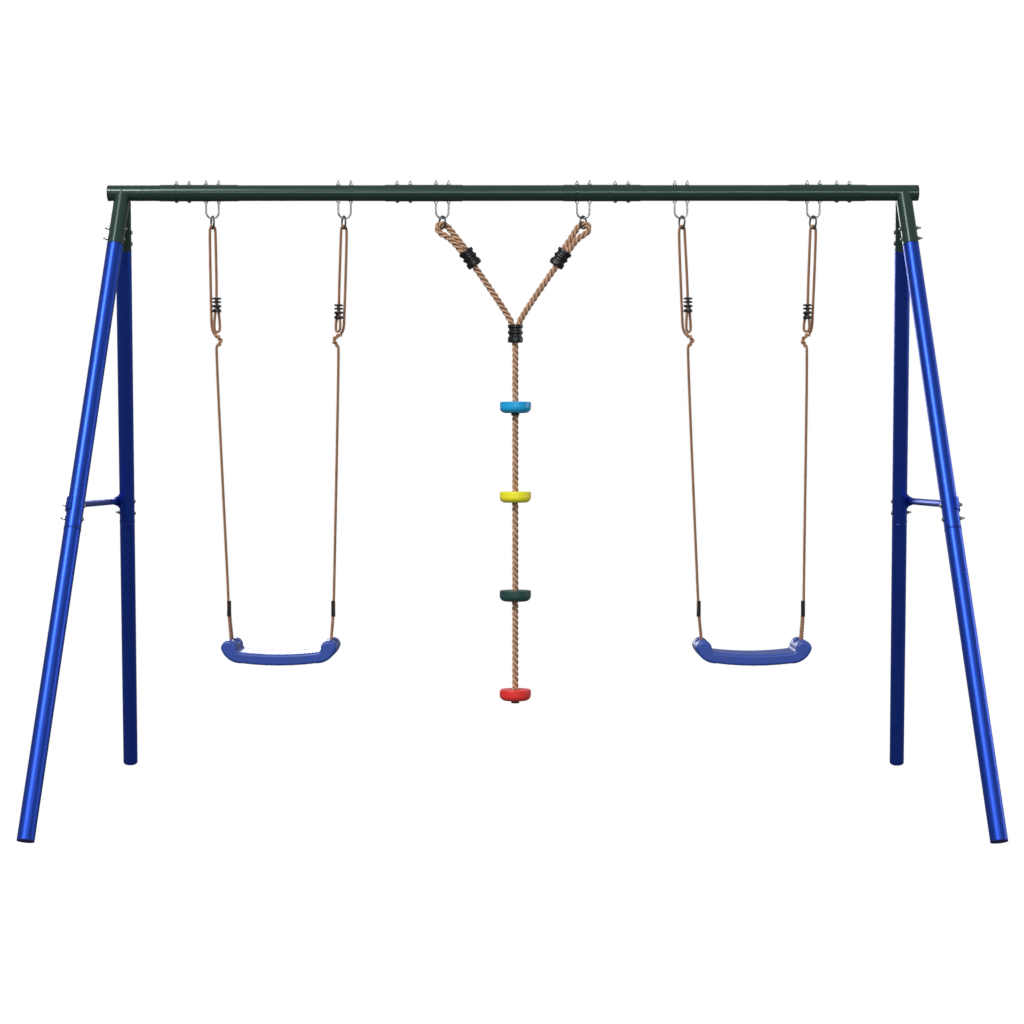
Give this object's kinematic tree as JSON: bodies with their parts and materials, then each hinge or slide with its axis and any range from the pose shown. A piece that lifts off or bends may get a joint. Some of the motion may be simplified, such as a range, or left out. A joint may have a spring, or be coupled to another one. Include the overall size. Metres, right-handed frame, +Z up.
{
  "type": "swing set",
  "caption": "A-frame garden swing set with two rope swings and a climbing rope with round foot discs.",
  "frame": {"origin": "on the ground, midway between the four feet", "axes": "+X along the top beam to the right, +Y from the front legs to the rear legs, +Z up"},
  "size_m": [2.7926, 1.5736, 1.9748],
  "materials": {
    "green_powder_coat": "semi-gloss powder coat",
    "blue_powder_coat": "semi-gloss powder coat",
    "zinc_steel": "bright zinc plate",
    "black_plastic": "moulded, satin",
    "rope": "three-strand twisted",
    "blue_plastic": "moulded, satin",
    "sky_blue_plastic": "moulded",
    "yellow_plastic": "moulded",
    "dark_green_plastic": "moulded",
    "red_plastic": "moulded",
    "dark_red_plastic": "moulded"
  },
  "bodies": {
    "frame": {"beam_bolts": "zinc_steel", "beam_end_caps": "black_plastic", "beam_nuts": "zinc_steel", "beam_sleeve_left_inner": "green_powder_coat", "beam_sleeve_left_outer": "green_powder_coat", "beam_sleeve_right_inner": "green_powder_coat", "beam_sleeve_right_outer": "green_powder_coat", "beam_tube_left": "green_powder_coat", "beam_tube_middle": "green_powder_coat", "beam_tube_right": "green_powder_coat", "end_bracket_left": "green_powder_coat", "end_bracket_right": "green_powder_coat", "foot_cap_front_left": "black_plastic", "foot_cap_front_right": "black_plastic", "foot_cap_rear_left": "black_plastic", "foot_cap_rear_right": "black_plastic", "leg_bolts": "zinc_steel", "leg_nuts": "zinc_steel", "lower_leg_front_left": "blue_powder_coat", "lower_leg_front_right": "blue_powder_coat", "lower_leg_rear_left": "blue_powder_coat", "lower_leg_rear_right": "blue_powder_coat", "side_brace_left": "blue_powder_coat", "side_brace_right": "blue_powder_coat", "u_bolt_climber_left": "zinc_steel", "u_bolt_climber_right": "zinc_steel", "u_bolt_nuts": "zinc_steel", "u_bolt_swing_left_inner": "zinc_steel", "u_bolt_swing_left_outer": "zinc_steel", "u_bolt_swing_right_inner": "zinc_steel", "u_bolt_swing_right_outer": "zinc_steel", "upper_leg_front_left": "blue_powder_coat", "upper_leg_front_right": "blue_powder_coat", "upper_leg_rear_left": "blue_powder_coat", "upper_leg_rear_right": "blue_powder_coat"},
    "left_swing_ropes": {"swing_left_adjusters": "black_plastic", "swing_left_crimps": "black_plastic", "swing_left_rings": "zinc_steel", "swing_left_rope_left": "rope", "swing_left_rope_right": "rope"},
    "left_seat": {"swing_left_seat": "blue_plastic"},
    "right_swing_ropes": {"swing_right_adjusters": "black_plastic", "swing_right_crimps": "black_plastic", "swing_right_rings": "zinc_steel", "swing_right_rope_left": "rope", "swing_right_rope_right": "rope"},
    "right_seat": {"swing_right_seat": "blue_plastic"},
    "climber_yoke": {"climber_arm_collars": "black_plastic", "climber_arm_rope_left": "rope", "climber_arm_rope_right": "rope", "climber_junction_collar": "black_plastic", "climber_rings": "zinc_steel"},
    "climber_drop_rope": {"climber_rope": "rope", "climber_disc_stops": "black_plastic", "climber_end_stop": "dark_red_plastic"},
    "blue_disc": {"climber_disc_blue": "sky_blue_plastic"},
    "yellow_disc": {"climber_disc_yellow": "yellow_plastic"},
    "green_disc": {"climber_disc_green": "dark_green_plastic"},
    "red_disc": {"climber_disc_red": "red_plastic"}
  },
  "joints": [
    {"name": "left_swing", "type": "hinge", "parent": "frame", "child": "left_swing_ropes", "pos_m": [-0.73885, 0, 1.85483], "axis": [1, 0, 0], "range_deg": [-60, 60]},
    {"name": "left_seat_tilt", "type": "hinge", "parent": "left_swing_ropes", "child": "left_seat", "pos_m": [-0.73885, 0, 0.49583], "axis": [1, 0, 0], "range_deg": [-12, 12]},
    {"name": "right_swing", "type": "hinge", "parent": "frame", "child": "right_swing_ropes", "pos_m": [0.76105, 0, 1.85483], "axis": [1, 0, 0], "range_deg": [-60, 60]},
    {"name": "right_seat_tilt", "type": "hinge", "parent": "right_swing_ropes", "child": "right_seat", "pos_m": [0.76105, 0, 0.49583], "axis": [1, 0, 0], "range_deg": [-12, 12]},
    {"name": "climber_swing", "type": "hinge", "parent": "frame", "child": "climber_yoke", "pos_m": [0, 0, 1.85483], "axis": [1, 0, 0], "range_deg": [-45, 45]},
    {"name": "climber_sway", "type": "hinge", "parent": "climber_yoke", "child": "climber_drop_rope", "pos_m": [0.008, 0, 1.46183], "axis": [0, 1, 0], "range_deg": [-18, 18]},
    {"name": "blue_disc_spin", "type": "hinge", "parent": "climber_drop_rope", "child": "blue_disc", "pos_m": [0.008, 0, 1.25433], "axis": [0, 0, 1], "continuous": true},
    {"name": "yellow_disc_spin", "type": "hinge", "parent": "climber_drop_rope", "child": "yellow_disc", "pos_m": [0.008, 0, 0.96883], "axis": [0, 0, 1], "continuous": true},
    {"name": "green_disc_spin", "type": "hinge", "parent": "climber_drop_rope", "child": "green_disc", "pos_m": [0.008, 0, 0.65383], "axis": [0, 0, 1], "continuous": true},
    {"name": "red_disc_spin", "type": "hinge", "parent": "climber_drop_rope", "child": "red_disc", "pos_m": [0.008, 0, 0.33683], "axis": [0, 0, 1], "continuous": true}
  ]
}
